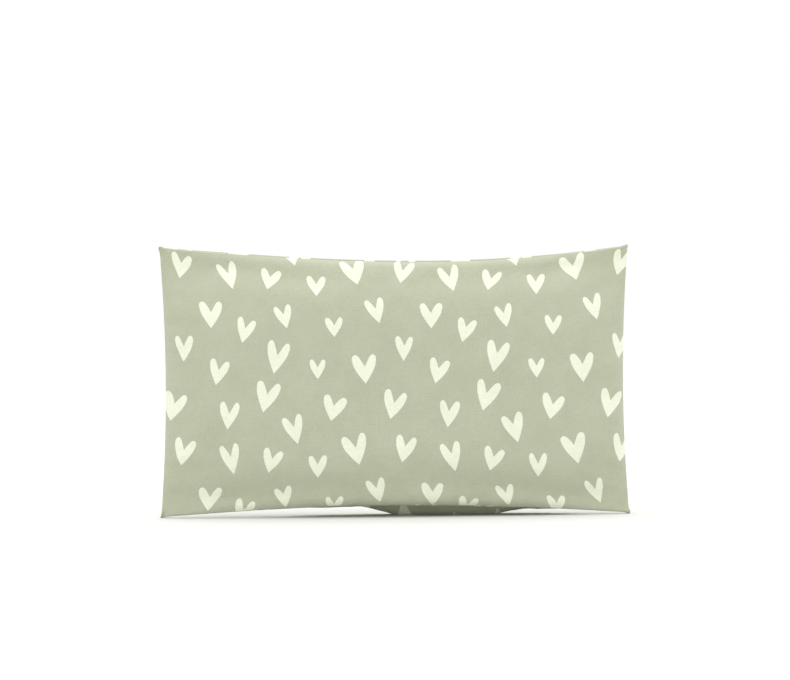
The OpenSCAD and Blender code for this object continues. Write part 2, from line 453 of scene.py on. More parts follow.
def heartOutline(x, z, width, height, lean, draw):
    # straight flanks from a pointed tip to two round lobes, with a deep notch between
    uneven = heartPrint["unevenness"]
    outline = []
    for side in (-1, 1):
        high = 0.5 - draw.uniform(0, uneven)
        wide = 0.5 - draw.uniform(0, uneven)
        notch = draw.uniform(0.04, 0.12)
        curves = [
            ((0, -0.5), (wide * 0.42, -0.27), (wide * 0.86, 0.0), (wide * 0.97, 0.2)),
            ((wide * 0.96, 0.22), (wide * 1.08, 0.38), (wide * 0.93, high), (wide * 0.7, high)),
            ((wide * 0.7, high), (wide * 0.48, high), (wide * 0.27, notch + 0.2), (0, notch)),
        ]
        part = []
        for p, q, r, s in curves:
            for n in range(7):
                t = n / 7
                k = ((1 - t) ** 3, 3 * t * (1 - t) ** 2, 3 * t**2 * (1 - t), t**3)
                part.append([sum(c * w for c, w in zip(axis, k)) for axis in zip(p, q, r, s)])
        outline.append([(side * px * width, pz * height) for px, pz in part] + [(0, notch * height)])
    points = outline[1][:-1] + [(0, (outline[0][-1][1] + outline[1][-1][1]) / 2)] + outline[0][-2:0:-1]
    turn = math.radians(lean)
    return [
        (x + px * math.cos(turn) - pz * math.sin(turn), z + px * math.sin(turn) + pz * math.cos(turn))
        for px, pz in points
    ]


def printedHearts(halfWidth, halfHeight, shift, seed):
    # every heart that falls on the cut cloth, in millimetres
    draw = random.Random(seed)
    shapes = []
    for row in range(-2, 3):
        for column in range(-2, 4):
            for x, z, width, height, lean in heartPrint["hearts"]:
                width, height = width * heartPrint["broader"], height * heartPrint["taller"]
                x = x + column * heartPrint["repeatAcross"] + shift[0]
                z = z + row * heartPrint["repeatUp"] + shift[1]
                outline = heartOutline(x, z, width, height, -lean, draw)
                if abs(x) < halfWidth + width and abs(z) < halfHeight + height:
                    shapes.append(outline)
    return shapes


def inside(points, outline):
    # which points lie in a closed outline
    shape = np.array(outline)
    nextShape = np.roll(shape, -1, axis=0)
    hit = np.zeros(len(points), bool)
    for (x0, z0), (x1, z1) in zip(shape, nextShape):
        crosses = (z0 > points[:, 1]) != (z1 > points[:, 1])
        reach = x0 + (points[:, 1] - z0) * (x1 - x0) / (z1 - z0 if z1 != z0 else 1e-9)
        hit ^= crosses & (points[:, 0] < reach)
    return hit


pattern = {
    "foldRows": 6,                   # rows of the mesh round each fold
    "closeRows": (0.35, 0.8, 1.4),   # mm inside the seam, where the cloth turns fastest
    "allowanceRow": 1.2,             # mm past the fold
    "clearance": 2,                  # mm inside the seam, where the even mesh begins
    "crowding": 0.5,                 # its points keep this share of the grain away from the lines
    "joinWithin": 1e-4,              # mm
    "mapShare": 0.99,                # the part of the bake map's width that the outer face fills
    "mapShareInside": 0.96,          # and the part of what is left that the inner face fills
    "mapMargin": 0.005,
    "mapGap": 0.008,
}


def cutPattern(halfWidth, halfHeight, cloth, shapes):
    # triangles of one flat panel in millimetres: its fold lines and its print are edges of the mesh
    w, h = halfWidth / mm, halfHeight / mm
    allowance, grain = cloth["allowance"] / mm, cloth["grain"] / mm
    bendLength = math.pi * cloth["foldRadius"] / mm
    points, edges = [], []

    def addLine(line, closed):
        start = len(points)
        points.extend(line)
        edges.extend((start + i, start + i + 1) for i in range(len(line) - 1))
        if closed:
            edges.append((start + len(line) - 1, start))

    def stretch(p, q):
        count = max(1, round(math.hypot(q[0] - p[0], q[1] - p[1]) / grain))
        return [(p[0] + (q[0] - p[0]) * i / count, p[1] + (q[1] - p[1]) * i / count) for i in range(count)]

    rim = []
    corners = []
    for sx, sz in ((1, -1), (1, 1), (-1, 1), (-1, -1)):
        pair = [(sx * (w - allowance), sz * (h + allowance)), (sx * (w + allowance), sz * (h - allowance))]
        corners.extend(pair if sx * sz < 0 else pair[::-1])
    for p, q in zip(corners, corners[1:] + corners[:1]):
        rim.extend(stretch(p, q))
    addLine(rim, True)
    seam = [(-w, -h), (w, -h), (w, h), (-w, h)]
    addLine([s for p, q in zip(seam, seam[1:] + seam[:1]) for s in stretch(p, q)], True)
    foldRows, allowanceRow = pattern["foldRows"], pattern["allowanceRow"]
    rows = [bendLength * n / foldRows for n in range(1, foldRows + 1)]
    rows += [bendLength + allowanceRow, (bendLength + allowance) / 2 + allowanceRow / 2]
    for past in rows:
        for sign in (-1, 1):
            addLine(stretch((-w + past, sign * (h + past)), (w - past, sign * (h + past)))
                    + [(w - past, sign * (h + past))], False)
            addLine(stretch((sign * (w + past), -h + past), (sign * (w + past), h - past))
                    + [(sign * (w + past), h - past)], False)
    for step in pattern["closeRows"]:
        ring = [(-w + step, -h + step), (w - step, -h + step), (w - step, h - step), (-w + step, h - step)]
        addLine([s for p, q in zip(ring, ring[1:] + ring[:1]) for s in stretch(p, q)], True)
    for outline in shapes:
        addLine(outline, True)
    tree = KDTree(len(points))
    for index, (x, z) in enumerate(points):
        tree.insert((x, z, 0), index)
    tree.balance()
    rowHeight = grain * math.sqrt(3) / 2
    clearance, apart = pattern["clearance"], pattern["crowding"] * grain
    rowCount = int((h - clearance) / rowHeight)
    columnCount = int((w - clearance) / grain)
    for j in range(-rowCount, rowCount + 1):
        for i in range(-columnCount, columnCount + 1):
            x, z = (i + 0.5 * (j % 2)) * grain, j * rowHeight
            if x < w - clearance and tree.find((x, z, 0))[2] > apart:
                points.append((x, z))
    made = delaunay_2d_cdt([Vector(p) for p in points], edges, [], 0, pattern["joinWithin"], False)
    places = np.array([tuple(p) for p in made[0]])
    triangles = np.array(made[2])
    centres = places[triangles].mean(1)
    inCut = (np.abs(centres).sum(1) < w + h) & (np.abs(centres) < (w + allowance, h + allowance)).all(1)
    triangles, centres = triangles[inCut], centres[inCut]
    inked = np.zeros(len(triangles), int)
    for outline in shapes:
        low, high = np.min(outline, axis=0), np.max(outline, axis=0)
        near = np.flatnonzero(((centres > low) & (centres < high)).all(1))
        inked[near[inside(centres[near], outline)]] = 1
    used, triangles = np.unique(triangles, return_inverse=True)
    return places[used], triangles.reshape(-1, 3), inked


def panelMesh(name, lay, side, halfWidth, halfHeight, cloth, shapes, materials):
    # both faces of the cloth and the cut edge between them; the print is on the outer face only
    places, triangles, inked = cutPattern(halfWidth, halfHeight, cloth, shapes)
    middle, facing = lay(-side * places[:, 0] * mm, places[:, 1] * mm)
    half = cloth["thickness"] / 2
    outer, inner = middle + facing * half, middle - facing * half
    count = len(places)
    directed = np.concatenate([triangles[:, [0, 1]], triangles[:, [1, 2]], triangles[:, [2, 0]]])
    code = directed[:, 0] * count + directed[:, 1]
    cutEdge = directed[~np.isin(code, directed[:, 1] * count + directed[:, 0])]
    rimFaces = np.concatenate([
        np.stack([cutEdge[:, 1], cutEdge[:, 0], cutEdge[:, 0] + count], 1),
        np.stack([cutEdge[:, 1], cutEdge[:, 0] + count, cutEdge[:, 1] + count], 1),
    ])
    faces = np.concatenate([triangles, triangles[:, ::-1] + count, rimFaces])
    points = np.concatenate([outer, inner])
    points[:, 2] = np.maximum(points[:, 2], 0)
    mesh = bpy.data.meshes.new(name)
    mesh.from_pydata(points.tolist(), [], faces.tolist())
    kinds = np.concatenate([inked, np.full(len(faces) - len(inked), 2)])
    mesh.polygons.foreach_set("material_index", kinds.astype(np.int32))
    mesh.polygons.foreach_set("use_smooth", np.ones(len(faces), bool))
    size = np.array([2 * halfWidth + 2 * cloth["allowance"], 2 * halfHeight + 2 * cloth["allowance"]]) / mm
    share = places / size + 0.5
    # the outer face takes the lower part of the map at full width, the inner face the rest
    lowPart = share * (1, size[1] / size[0]) * pattern["mapShare"] + pattern["mapMargin"]
    top = lowPart[:, 1].max()
    scale = (1 - top) / (size[1] / size[0]) * pattern["mapShareInside"]
    highPart = share * (scale, scale * size[1] / size[0]) + (pattern["mapMargin"], top + pattern["mapGap"])
    loops = faces.ravel()
    clothMap = mesh.uv_layers.new(name="clothMap")
    clothMap.uv.foreach_set("vector", np.concatenate([share, share])[loops].astype(np.float32).ravel())
    bakeMap = mesh.uv_layers.new(name="OFBake")
    bakeMap.uv.foreach_set("vector", np.concatenate([lowPart, highPart])[loops].astype(np.float32).ravel())
    for material in materials:
        mesh.materials.append(material)
    mesh.update()
    return addObject(name, mesh)


def addObject(name, data):
    thing = bpy.data.objects.new(name, data)
    bpy.context.scene.collection.objects.link(thing)
    return thing


def hexColor(code):
    # an sRGB hex value as linear light
    parts = [int(code[i:i + 2], 16) / 255 for i in (1, 3, 5)]
    return [p / 12.92 if p <= 0.04045 else ((p + 0.055) / 1.055) ** 2.4 for p in parts] + [1]


def addNode(tree, kind, settings=None, inputs=None):
    node = tree.nodes.new("ShaderNode" + kind)
    for name, value in (settings or {}).items():
        setattr(node, name, value)
    for key, value in (inputs or {}).items():
        if isinstance(value, bpy.types.NodeSocket):
            tree.links.new(value, node.inputs[key])
        else:
            node.inputs[key].default_value = value
    return node


def plainWeave(tree, place, pitch):
    # height of a plain weave, 0 to 1: threads pitch apart go over and under each other
    split = addNode(tree, "SeparateXYZ", inputs={"Vector": place})
    waves = []
    for axis in ("X", "Y"):
        angle = addNode(tree, "Math", {"operation": "MULTIPLY"}, {0: split.outputs[axis], 1: math.pi / pitch})
        for wave in ("SINE", "COSINE"):
            waves.append(addNode(tree, "Math", {"operation": wave}, {0: angle.outputs[0]}).outputs[0])
    sinX, cosX, sinY, cosY = waves
    heights = []
    for own, other, sign in ((sinX, cosY, 0.5), (sinY, cosX, -0.5)):
        roundness = addNode(tree, "Math", {"operation": "ABSOLUTE"}, {0: own})
        half = addNode(tree, "Math", {"operation": "MULTIPLY"}, {0: roundness.outputs[0], 1: 0.5})
        cross = addNode(tree, "Math", {"operation": "MULTIPLY"}, {0: own, 1: other})
        heights.append(addNode(tree, "Math", {"operation": "MULTIPLY_ADD"},
                               {0: cross.outputs[0], 1: sign, 2: half.outputs[0]}).outputs[0])
    return addNode(tree, "Math", {"operation": "MAXIMUM"}, {0: heights[0], 1: heights[1]}).outputs[0]


canvasLook = {
    "sage": "#BDC1A9",
    "sageDark": "#A6A991",     # the painted shade in the valleys of the weave, and the darker slubs
    "cream": "#F4F6E2",
    "wrongSide": "#B4B89E",
    "pitch": 0.6,        # mm between threads
    "slubLength": 4.0,   # mm
    "slubWidth": 0.5,
    "mottle": 11.0,      # mm across the soft patches of uneven dye
    "weaveDepth": 0.06 * mm,
    "contrast": 0.4,         # how strongly the dark tone shows on the dyed face
    "printContrast": 0.22,   # the print covers much of it
    "wrongContrast": 0.5,
}

muslinLook = {
    "natural": "#EFE9D8",
    "naturalDark": "#D9CFB6",
    "pitch": 0.8,        # mm; the real threads are 0.4 mm apart
    "slubLength": 7.0,
    "slubWidth": 0.9,
    "mottle": 14.0,
    "weaveDepth": 0.08 * mm,
    "contrast": 0.5,
}


def wovenMaterial(name, light, dark, look, flatSize, contrast):
    # woven cotton: matt, a little soft sheen from loose fibres, the weave in its relief, with painted shade
    # in its valleys
    material = bpy.data.materials.new(name)
    material.use_nodes = True
    tree = material.node_tree
    shader = tree.nodes["Principled BSDF"]
    shader.inputs["Roughness"].default_value = 0.88
    shader.inputs["IOR"].default_value = 1.5
    shader.inputs["Specular IOR Level"].default_value = 0.25
    shader.inputs["Sheen Weight"].default_value = 0.25
    shader.inputs["Sheen Roughness"].default_value = 0.5
    flat = addNode(tree, "UVMap", {"uv_map": "clothMap"})
    place = addNode(tree, "Mapping", inputs={"Vector": flat.outputs["UV"],
                                             "Scale": (flatSize[0] / mm, flatSize[1] / mm, 1)})
    wander = addNode(tree, "TexNoise", inputs={"Vector": place.outputs[0], "Scale": 0.22, "Detail": 2.0})
    sway = addNode(tree, "VectorMath", {"operation": "MULTIPLY_ADD"},
                   {0: wander.outputs["Color"], 1: (0.9, 0.9, 0), 2: place.outputs[0]})
    weave = plainWeave(tree, sway.outputs[0], look["pitch"])
    tones = []
    for size in ((look["slubLength"], look["slubWidth"]), (look["slubWidth"], look["slubLength"])):
        lined = addNode(tree, "Mapping", inputs={"Vector": place.outputs[0],
                                                 "Scale": (1 / size[0], 1 / size[1], 1)})
        tones.append(addNode(tree, "TexNoise", inputs={"Vector": lined.outputs[0], "Scale": 1.0,
                                                       "Detail": 3.0, "Roughness": 0.6}).outputs["Fac"])
    patches = addNode(tree, "TexNoise", inputs={"Vector": place.outputs[0], "Scale": 1 / look["mottle"],
                                                "Detail": 3.0})
    threads = addNode(tree, "Math", {"operation": "ADD"}, {0: tones[0], 1: tones[1]})
    cloudy = addNode(tree, "Math", {"operation": "ADD"}, {0: threads.outputs[0], 1: patches.outputs["Fac"]})
    # the three noises add up to about 1.5, and the weave's valleys take more of the dark tone: painted shade
    # on plain cloth, and on the print the ground colour showing where the ink misses them
    shade = addNode(tree, "MapRange", inputs={"Value": cloudy.outputs[0], "From Min": 1.15, "From Max": 1.85,
                                              "To Min": 0.9 * contrast, "To Max": 0.0})
    # painted shade in the weave's valleys; on the print this is the ground colour in the valleys that the ink
    # misses
    valleyShadeAndBareGround = addNode(tree, "MapRange", inputs={"Value": weave, "From Min": 0.35, "From Max": 0.9,
                                               "To Min": 0.4 * contrast, "To Max": 0.0})
    slubs = addNode(tree, "MapRange", inputs={"Value": tones[0], "From Min": 0.36, "From Max": 0.26,
                                              "To Min": 0.0, "To Max": 0.9 * contrast})
    darkness = addNode(tree, "Math", {"operation": "ADD", "use_clamp": True},
                    {0: shade.outputs[0], 1: valleyShadeAndBareGround.outputs[0]})
    marked = addNode(tree, "Math", {"operation": "ADD", "use_clamp": True},
                     {0: darkness.outputs[0], 1: slubs.outputs[0]})
    colour = addNode(tree, "Mix", {"data_type": "RGBA"},
                     {"Factor": marked.outputs[0], "A": hexColor(light), "B": hexColor(dark)})
    tree.links.new(colour.outputs["Result"], shader.inputs["Base Color"])
    relief = addNode(tree, "Math", {"operation": "MULTIPLY_ADD"}, {0: tones[0], 1: 0.6, 2: weave})
    bump = addNode(tree, "Bump", inputs={"Height": relief.outputs[0], "Distance": look["weaveDepth"],
                                         "Strength": 0.8})
    tree.links.new(bump.outputs["Normal"], shader.inputs["Normal"])
    return material


threadLook = {"cover": "#D2D5BF", "liner": "#F4F0E4", "plyPitch": 0.9}


def threadMaterial(name, code):
    # spun polyester sewing thread: slightly glossy, twisted plies, with painted shade in the grooves between
    # them
    material = bpy.data.materials.new(name)
    material.use_nodes = True
    tree = material.node_tree
    shader = tree.nodes["Principled BSDF"]
    shader.inputs["Roughness"].default_value = 0.55
    shader.inputs["IOR"].default_value = 1.52
    shader.inputs["Sheen Weight"].default_value = 0.1
    run = addNode(tree, "UVMap", {"uv_map": "threadMap"})
    split = addNode(tree, "SeparateXYZ", inputs={"Vector": run.outputs["UV"]})
    twist = addNode(tree, "Math", {"operation": "MULTIPLY_ADD"},
                    {0: split.outputs["Y"], 1: 1.0, 2: split.outputs["X"]})
    plies = addNode(tree, "Math", {"operation": "MULTIPLY"}, {0: twist.outputs[0], 1: 2 * math.pi})
    wave = addNode(tree, "Math", {"operation": "SINE"}, {0: plies.outputs[0]})
    # painted shade: the grooves between the plies take a darker copy of the thread's own colour
    shade = addNode(tree, "MapRange", inputs={"Value": wave.outputs[0], "From Min": -1, "From Max": 1,
                                              "To Min": 0.7, "To Max": 0.0})
    light = hexColor(code)
    dark = [0.6 * c for c in light[:3]] + [1]
    colour = addNode(tree, "Mix", {"data_type": "RGBA"}, {"Factor": shade.outputs[0], "A": light, "B": dark})
    tree.links.new(colour.outputs["Result"], shader.inputs["Base Color"])
    bump = addNode(tree, "Bump", inputs={"Height": wave.outputs[0], "Distance": 0.04 * mm})
    tree.links.new(bump.outputs["Normal"], shader.inputs["Normal"])
    return material


seedLook = {"brown": "#8A5A36", "pale": "#B98A58", "dark": "#5E3A20"}


def seedMaterial(name):
    # flax seed: smooth, oily gloss, brown with paler and darker seeds among it
    material = bpy.data.materials.new(name)
    material.use_nodes = True
    tree = material.node_tree
    shader = tree.nodes["Principled BSDF"]
    shader.inputs["Roughness"].default_value = 0.32
    shader.inputs["IOR"].default_value = 1.47
    shader.inputs["Coat Weight"].default_value = 0.2
    place = addNode(tree, "TexCoord").outputs["Object"]
    seedSize = addNode(tree, "TexNoise", inputs={"Vector": place, "Scale": 1 / (5 * mm), "Detail": 1.0})
    grain = addNode(tree, "TexNoise", inputs={"Vector": place, "Scale": 1 / (0.5 * mm), "Detail": 2.0})
    ramp = addNode(tree, "ValToRGB", inputs={"Fac": seedSize.outputs["Fac"]})
    ramp.color_ramp.elements[0].position, ramp.color_ramp.elements[0].color = 0.35, hexColor(seedLook["dark"])
    ramp.color_ramp.elements[1].position, ramp.color_ramp.elements[1].color = 0.66, hexColor(seedLook["pale"])
    ramp.color_ramp.elements.new(0.5).color = hexColor(seedLook["brown"])
    tree.links.new(ramp.outputs["Color"], shader.inputs["Base Color"])
    bump = addNode(tree, "Bump", inputs={"Height": grain.outputs["Fac"], "Distance": 0.03 * mm})
    tree.links.new(bump.outputs["Normal"], shader.inputs["Normal"])
    return material


stitching = {
    "diameter": 0.3 * mm,
    "machineStitch": 2.5 * mm,
    "handStitch": 3 * mm,
    "turningGap": 60 * mm,   # in the cover's lower seam, closed by hand
    "fillingGap": 45 * mm,   # in the liner's upper seam
    "sides": 6,
    "stepsPerStitch": 8,
    "handTurn": 0.3 * mm,    # how soon a hand stitch turns across the groove, and how far out it stands there
    "handSteps": 6,
    "handRounding": 3,
}


def threadMesh(name, paths, material):
    # tubes along the paths, with a map that runs once round and once a millimetre along
    sides = stitching["sides"]
    radius = stitching["diameter"] / 2
    points, faces, uvs = [], [], []
    for path in paths:
        path = np.array(path)
        ahead = unit(np.gradient(path, axis=0))
        length = np.concatenate([[0], np.cumsum(np.linalg.norm(np.diff(path, axis=0), axis=1))])
        across = unit(np.cross(ahead, (0.12, 0.98, 0.16)))
        over = np.cross(ahead, across)
        start = len(points)
        for k in range(sides):
            turn = 2 * math.pi * k / sides
            ring = path + radius * (math.cos(turn) * across + math.sin(turn) * over)
            points.extend(ring.tolist())
        rings = len(path)
        for k in range(sides):
            nextSide = (k + 1) % sides
            for i in range(rings - 1):
                faces.append((start + k * rings + i, start + k * rings + i + 1,
                              start + nextSide * rings + i + 1, start + nextSide * rings + i))
                uvs.extend([(length[i] / mm, k / sides), (length[i + 1] / mm, k / sides),
                            (length[i + 1] / mm, (k + 1) / sides), (length[i] / mm, (k + 1) / sides)])
        for end in (0, rings - 1):
            cap = [start + k * rings + end for k in range(sides)]
            faces.append(cap if end else cap[::-1])
            uvs.extend([(0, 0)] * sides)
    mesh = bpy.data.meshes.new(name)
    mesh.from_pydata(points, [], faces)
    mesh.polygons.foreach_set("use_smooth", np.ones(len(faces), bool))
    runMap = mesh.uv_layers.new(name="threadMap")
    runMap.uv.foreach_set("vector", np.array(uvs, np.float32).ravel())
    mesh.materials.append(material)
    mesh.update()
    return addObject(name, mesh)


def seamPlaces(halfWidth, halfHeight, step, gap, gapEdge):
    # flat places along the seam, from one end of the opening round to the other
    corners = [(halfWidth, gapEdge * halfHeight), (halfWidth, -gapEdge * halfHeight),
               (-halfWidth, -gapEdge * halfHeight), (-halfWidth, gapEdge * halfHeight)]
    route = [(gap / 2, gapEdge * halfHeight)] + corners + [(-gap / 2, gapEdge * halfHeight)]
    lengths = [math.dist(p, q) for p, q in zip(route, route[1:])]
    marks = np.concatenate([[0], np.cumsum(lengths)])
    along = np.linspace(0, marks[-1], int(marks[-1] / step) + 1)
    route = np.array(route)
    return np.interp(along, marks, route[:, 0]), np.interp(along, marks, route[:, 1]), along


def seamFrame(reader, a, b, halfWidth, halfHeight, cloth):
    # on the seam line: the place, and the step from it to the middle of the front panel's fold
    roll = seamRoll(a, b, halfWidth, halfHeight)
    bend = foldRadiusAt(a, b, halfWidth, halfHeight, cloth)
    toFront = -np.stack([0 * roll, np.cos(roll), np.sin(roll)], -1)
    return reader(a, b), toFront * (cloth["thickness"] / 2 + bend)[:, None]


def machineSeam(reader, halfWidth, halfHeight, cloth, gap, gapEdge):
    # needle and bobbin thread: each lies in its panel's fold and dips to the seam at every stitch
    a, b, along = seamPlaces(halfWidth, halfHeight, stitching["machineStitch"] / stitching["stepsPerStitch"],
                             gap, gapEdge)
    place, toFront = seamFrame(reader, a, b, halfWidth, halfHeight, cloth)
    dip = np.abs(np.sin(math.pi * along / stitching["machineStitch"])) ** 0.5
    return [place + sign * toFront * dip[:, None] for sign in (1, -1)]


def ladderSeam(reader, halfWidth, halfHeight, cloth, gap, gapEdge):
    # one hand-sewn thread: along inside one fold, across the groove, along inside the other
    steps = int(gap / stitching["handStitch"])
    handTurn = stitching["handTurn"]
    starts = -gap / 2 + np.arange(steps + 1) * gap / steps
    a, share = [], []
    for n in range(steps):
        sign = 1 if n % 2 else -1
        begin, end = starts[n], starts[n + 1]
        a.extend([begin + handTurn, (begin + end) / 2, end - handTurn, end])
        share.extend([sign, sign, sign, 0])
    a, share = np.array(a[:-1]), np.array(share[:-1], float)
    b = np.full_like(a, gapEdge * halfHeight)
    place, toFront = seamFrame(reader, a, b, halfWidth, halfHeight, cloth)
    outward = np.array([0, 0, gapEdge]) * (share == 0)[:, None] * handTurn
    coarse = place + toFront * share[:, None] + outward
    fine = np.linspace(0, len(coarse) - 1, stitching["handSteps"] * len(coarse))
    path = np.stack([np.interp(fine, np.arange(len(coarse)), coarse[:, k]) for k in range(3)], 1)
    for _ in range(stitching["handRounding"]):  # rounds the turns of the thread
        path[1:-1] = (path[:-2] + 2 * path[1:-1] + path[2:]) / 4
    return path


filling = {
    "seedLength": 4.6 * mm,
    "seedWidth": 2.3 * mm,
    "seedThickness": 1.0 * mm,
    "spacing": 3.5 * mm,
    "rowShare": 0.87,        # rows lie closer than the seeds in a row
    "tilt": 0.35,            # how far a seed's tip stands up or dips
    "columns": 72,           # of the mass under the seeds
    "rows": 40,
    "edgeRound": 12 * mm,    # how far in from its edge the mass reaches its full thickness
    "lowerRise": 5 * mm,     # how much higher its lower edge lies than the cover's seam
    "insideLiner": 0.9 * mm,   # room between the liner and the mass, besides one seed's thickness
}


def innerReaders(readers, gap, inset, edgeRound, lowest, halfWidth, halfHeight):
    # front and back of something loose inside the cover, gap in from it and rounding to a thin edge;
    # its lower edge sits a little above the cover's seam
    def reader(side):
        def read(a, b):
            frontPlace, backPlace = readers[0](a, b), readers[1](a, b)
            middle, toSide = (frontPlace + backPlace) / 2, (backPlace - frontPlace) / 2
            deep = np.linalg.norm(toSide, axis=-1, keepdims=True)
            edge = np.minimum(halfWidth - inset - np.abs(a), halfHeight - inset - np.abs(b))
            t = 1 - np.clip(edge / edgeRound, 0, 1)
            thinner = np.maximum(0, deep - gap) / np.maximum(deep, 1e-9)
            keep = thinner * np.sqrt(np.maximum(0, 1 - t * t))[..., None]
            place = middle + side * toSide * keep
            place[..., 2] += filling["lowerRise"] * np.maximum(0, -b / halfHeight) ** 4
            place[..., 2] = restOnFloor(place[..., 2], lowest, stance["floorSoft"])
            return place
        return read
    return [reader(front), reader(back)]


def seedShape():
    # a flat pointed oval, closed, as rings along its length
    rings, around = 5, 6
    points = [(-0.5, 0, 0)]
    for n in range(1, rings):
        t = n / rings
        wide = math.sin(math.pi * t) ** 0.8
        for k in range(around):
            turn = 2 * math.pi * k / around
            points.append((t - 0.5, wide * math.cos(turn) / 2, wide * math.sin(turn) / 2))
    points.append((0.5, 0, 0))
    faces = [(0, 1 + (k + 1) % around, 1 + k) for k in range(around)]
    for n in range(rings - 2):
        for k in range(around):
            p, q = 1 + n * around + k, 1 + n * around + (k + 1) % around
            faces += [(p, q, q + around), (p, q + around, p + around)]
    last = len(points) - 1
    faces += [(last, last - around + k, last - around + (k + 1) % around) for k in range(around)]
    size = (filling["seedLength"], filling["seedWidth"], filling["seedThickness"])
    return np.array(points) * size, np.array(faces)


def seedFill(name, readers, halfWidth, halfHeight, material):
    # the mass of seed: a closed body, with single seeds lying all over it
    draw = random.Random(11)
    a, b = np.meshgrid(
        np.linspace(-halfWidth, halfWidth, filling["columns"]),
        np.linspace(-halfHeight, halfHeight, filling["rows"]),
    )
    index = np.arange(a.size).reshape(a.shape)
    backIndex = index.copy()
    inner = np.zeros(a.shape, bool)
    inner[1:-1, 1:-1] = True
    backIndex[inner] = a.size + np.arange(inner.sum())
    points = [readers[0](a, b).reshape(-1, 3), readers[1](a, b)[inner]]
    faces = []
    for grid, order in ((index, 1), (backIndex, -1)):
        p, q, r, s = grid[:-1, :-1], grid[:-1, 1:], grid[1:, 1:], grid[1:, :-1]
        for corner in ((p, q, r), (p, r, s)):
            faces.append(np.stack(corner, -1).reshape(-1, 3)[:, ::order])
    total = sum(len(p) for p in points)
    shape, shapeFaces = seedShape()
    spacing, rowShare = filling["spacing"], filling["rowShare"]
    edge = np.array([halfWidth - mm, halfHeight - mm])
    for side, read in ((front, readers[0]), (back, readers[1])):
        places = []
        for j in range(int(2 * halfHeight / (spacing * rowShare))):
            for i in range(int(2 * halfWidth / spacing)):
                places.append((
                    -halfWidth + (i + 0.5 * (j % 2) + draw.uniform(0.2, 0.8)) * spacing,
                    -halfHeight + (j + draw.uniform(0.2, 0.8)) * spacing * rowShare,
                ))
        places = np.clip(np.array(places), -edge, edge)
        base = read(places[:, 0], places[:, 1])
        across, up = slopes(read, places[:, 0], places[:, 1], halfWidth, halfHeight)
        normal = unit(np.cross(across, up) * -side)
        turn = np.array([draw.uniform(0, 2 * math.pi) for _ in base])
        tip = np.array([draw.uniform(-filling["tilt"], filling["tilt"]) for _ in base])
        along = unit(np.cos(turn)[:, None] * across + np.sin(turn)[:, None] * np.cross(normal, across)
                     + tip[:, None] * normal)
        beside = unit(np.cross(normal, along))
        above = np.cross(along, beside)
        for n in range(len(base)):
            points.append(base[n] + shape @ np.stack([along[n], beside[n], above[n]]))
            faces.append(shapeFaces + total)
            total += len(shape)
    mesh = bpy.data.meshes.new(name)
    mesh.from_pydata(np.concatenate(points).tolist(), [], np.concatenate(faces).tolist())
    mesh.validate()  # front and back share the corner triangles, so one of each is dropped
    mesh.polygons.foreach_set("use_smooth", np.ones(len(mesh.polygons), bool))
    mesh.materials.append(material)
    mesh.update()
    return addObject(name, mesh)


foldReach = coverCloth["foldRadius"] + coverCloth["thickness"] / 2
halfWidth, halfHeight = coverWidth / 2 - foldReach, coverHeight / 2 - foldReach
cutWidth, cutHeight = halfWidth + coverCloth["allowance"], halfHeight + coverCloth["allowance"]
shapes = inflate(2 * halfWidth, 2 * halfHeight)
print("cover inflated")
highest = coverHeight - foldReach - stance["topSink"]
grids = settle([np.array(s) for s in shapes], 2 * halfWidth, foldReach, highest)
reach = [g[..., 1] for g in grids]
centreY = (cadBox[0].y + cadBox[1].y) / 2 - (min(r.min() for r in reach) + max(r.max() for r in reach)) / 2
for grid in grids:
    grid[..., 1] += centreY
coverReaders = [gridReader(grid, 2 * halfWidth, 2 * halfHeight) for grid in grids]

flatSize = (2 * cutWidth, 2 * cutHeight)
sage = wovenMaterial("cottonCanvasDyed", canvasLook["sage"], canvasLook["sageDark"], canvasLook,
                     flatSize, canvasLook["contrast"])
ink = wovenMaterial("cottonCanvasPigmentPrint", canvasLook["cream"], canvasLook["sage"], canvasLook,
                    flatSize, canvasLook["printContrast"])
wrong = wovenMaterial("cottonCanvasWrongSide", canvasLook["wrongSide"], canvasLook["sageDark"], canvasLook,
                      flatSize, canvasLook["wrongContrast"])
pieces = {}
for side, name, node, shift, seed in (
    (front, "canvas_front", "front_panel", (-0.8, 0), 3),
    (back, "canvas_back", "back_panel", (-25, -11), 8),
):
    lay = panelLayer(coverReaders[0 if side == front else 1], side, halfWidth, halfHeight, coverCloth, seed)
    hearts = printedHearts(cutWidth / mm, cutHeight / mm, shift, seed)
    pieces[name] = (panelMesh(name, lay, side, halfWidth, halfHeight, coverCloth, hearts, [sage, ink, wrong]),
                    [node], "printed_canvas")
    print(name, "made with", len(hearts), "hearts,", len(pieces[name][0].data.polygons), "faces")

linerGap = linerFit["gap"]
linerLowest = linerFit["lowest"]
linerReaders = innerReaders(coverReaders, linerGap, linerInset, linerFit["edgeRound"], linerLowest,
                            halfWidth, halfHeight)
linerHalfWidth, linerHalfHeight = halfWidth - linerInset, halfHeight - linerInset
linerFlat = (2 * (linerHalfWidth + linerCloth["allowance"]), 2 * (linerHalfHeight + linerCloth["allowance"]))
muslin = wovenMaterial("cottonMuslinNatural", muslinLook["natural"], muslinLook["naturalDark"], muslinLook,
                       linerFlat, muslinLook["contrast"])
# the same seeds as the cover's, since the same lumps of filling show through both
for side, name, node, seed in (
    (front, "muslin_front", "liner_front", 3),
    (back, "muslin_back", "liner_back", 8),
):
    lay = panelLayer(linerReaders[0 if side == front else 1], side, linerHalfWidth, linerHalfHeight,
                     linerCloth, seed)
    pieces[name] = (panelMesh(name, lay, side, linerHalfWidth, linerHalfHeight, linerCloth, [],
                              [muslin, muslin, muslin]), [node], "muslin")
print("liner made")

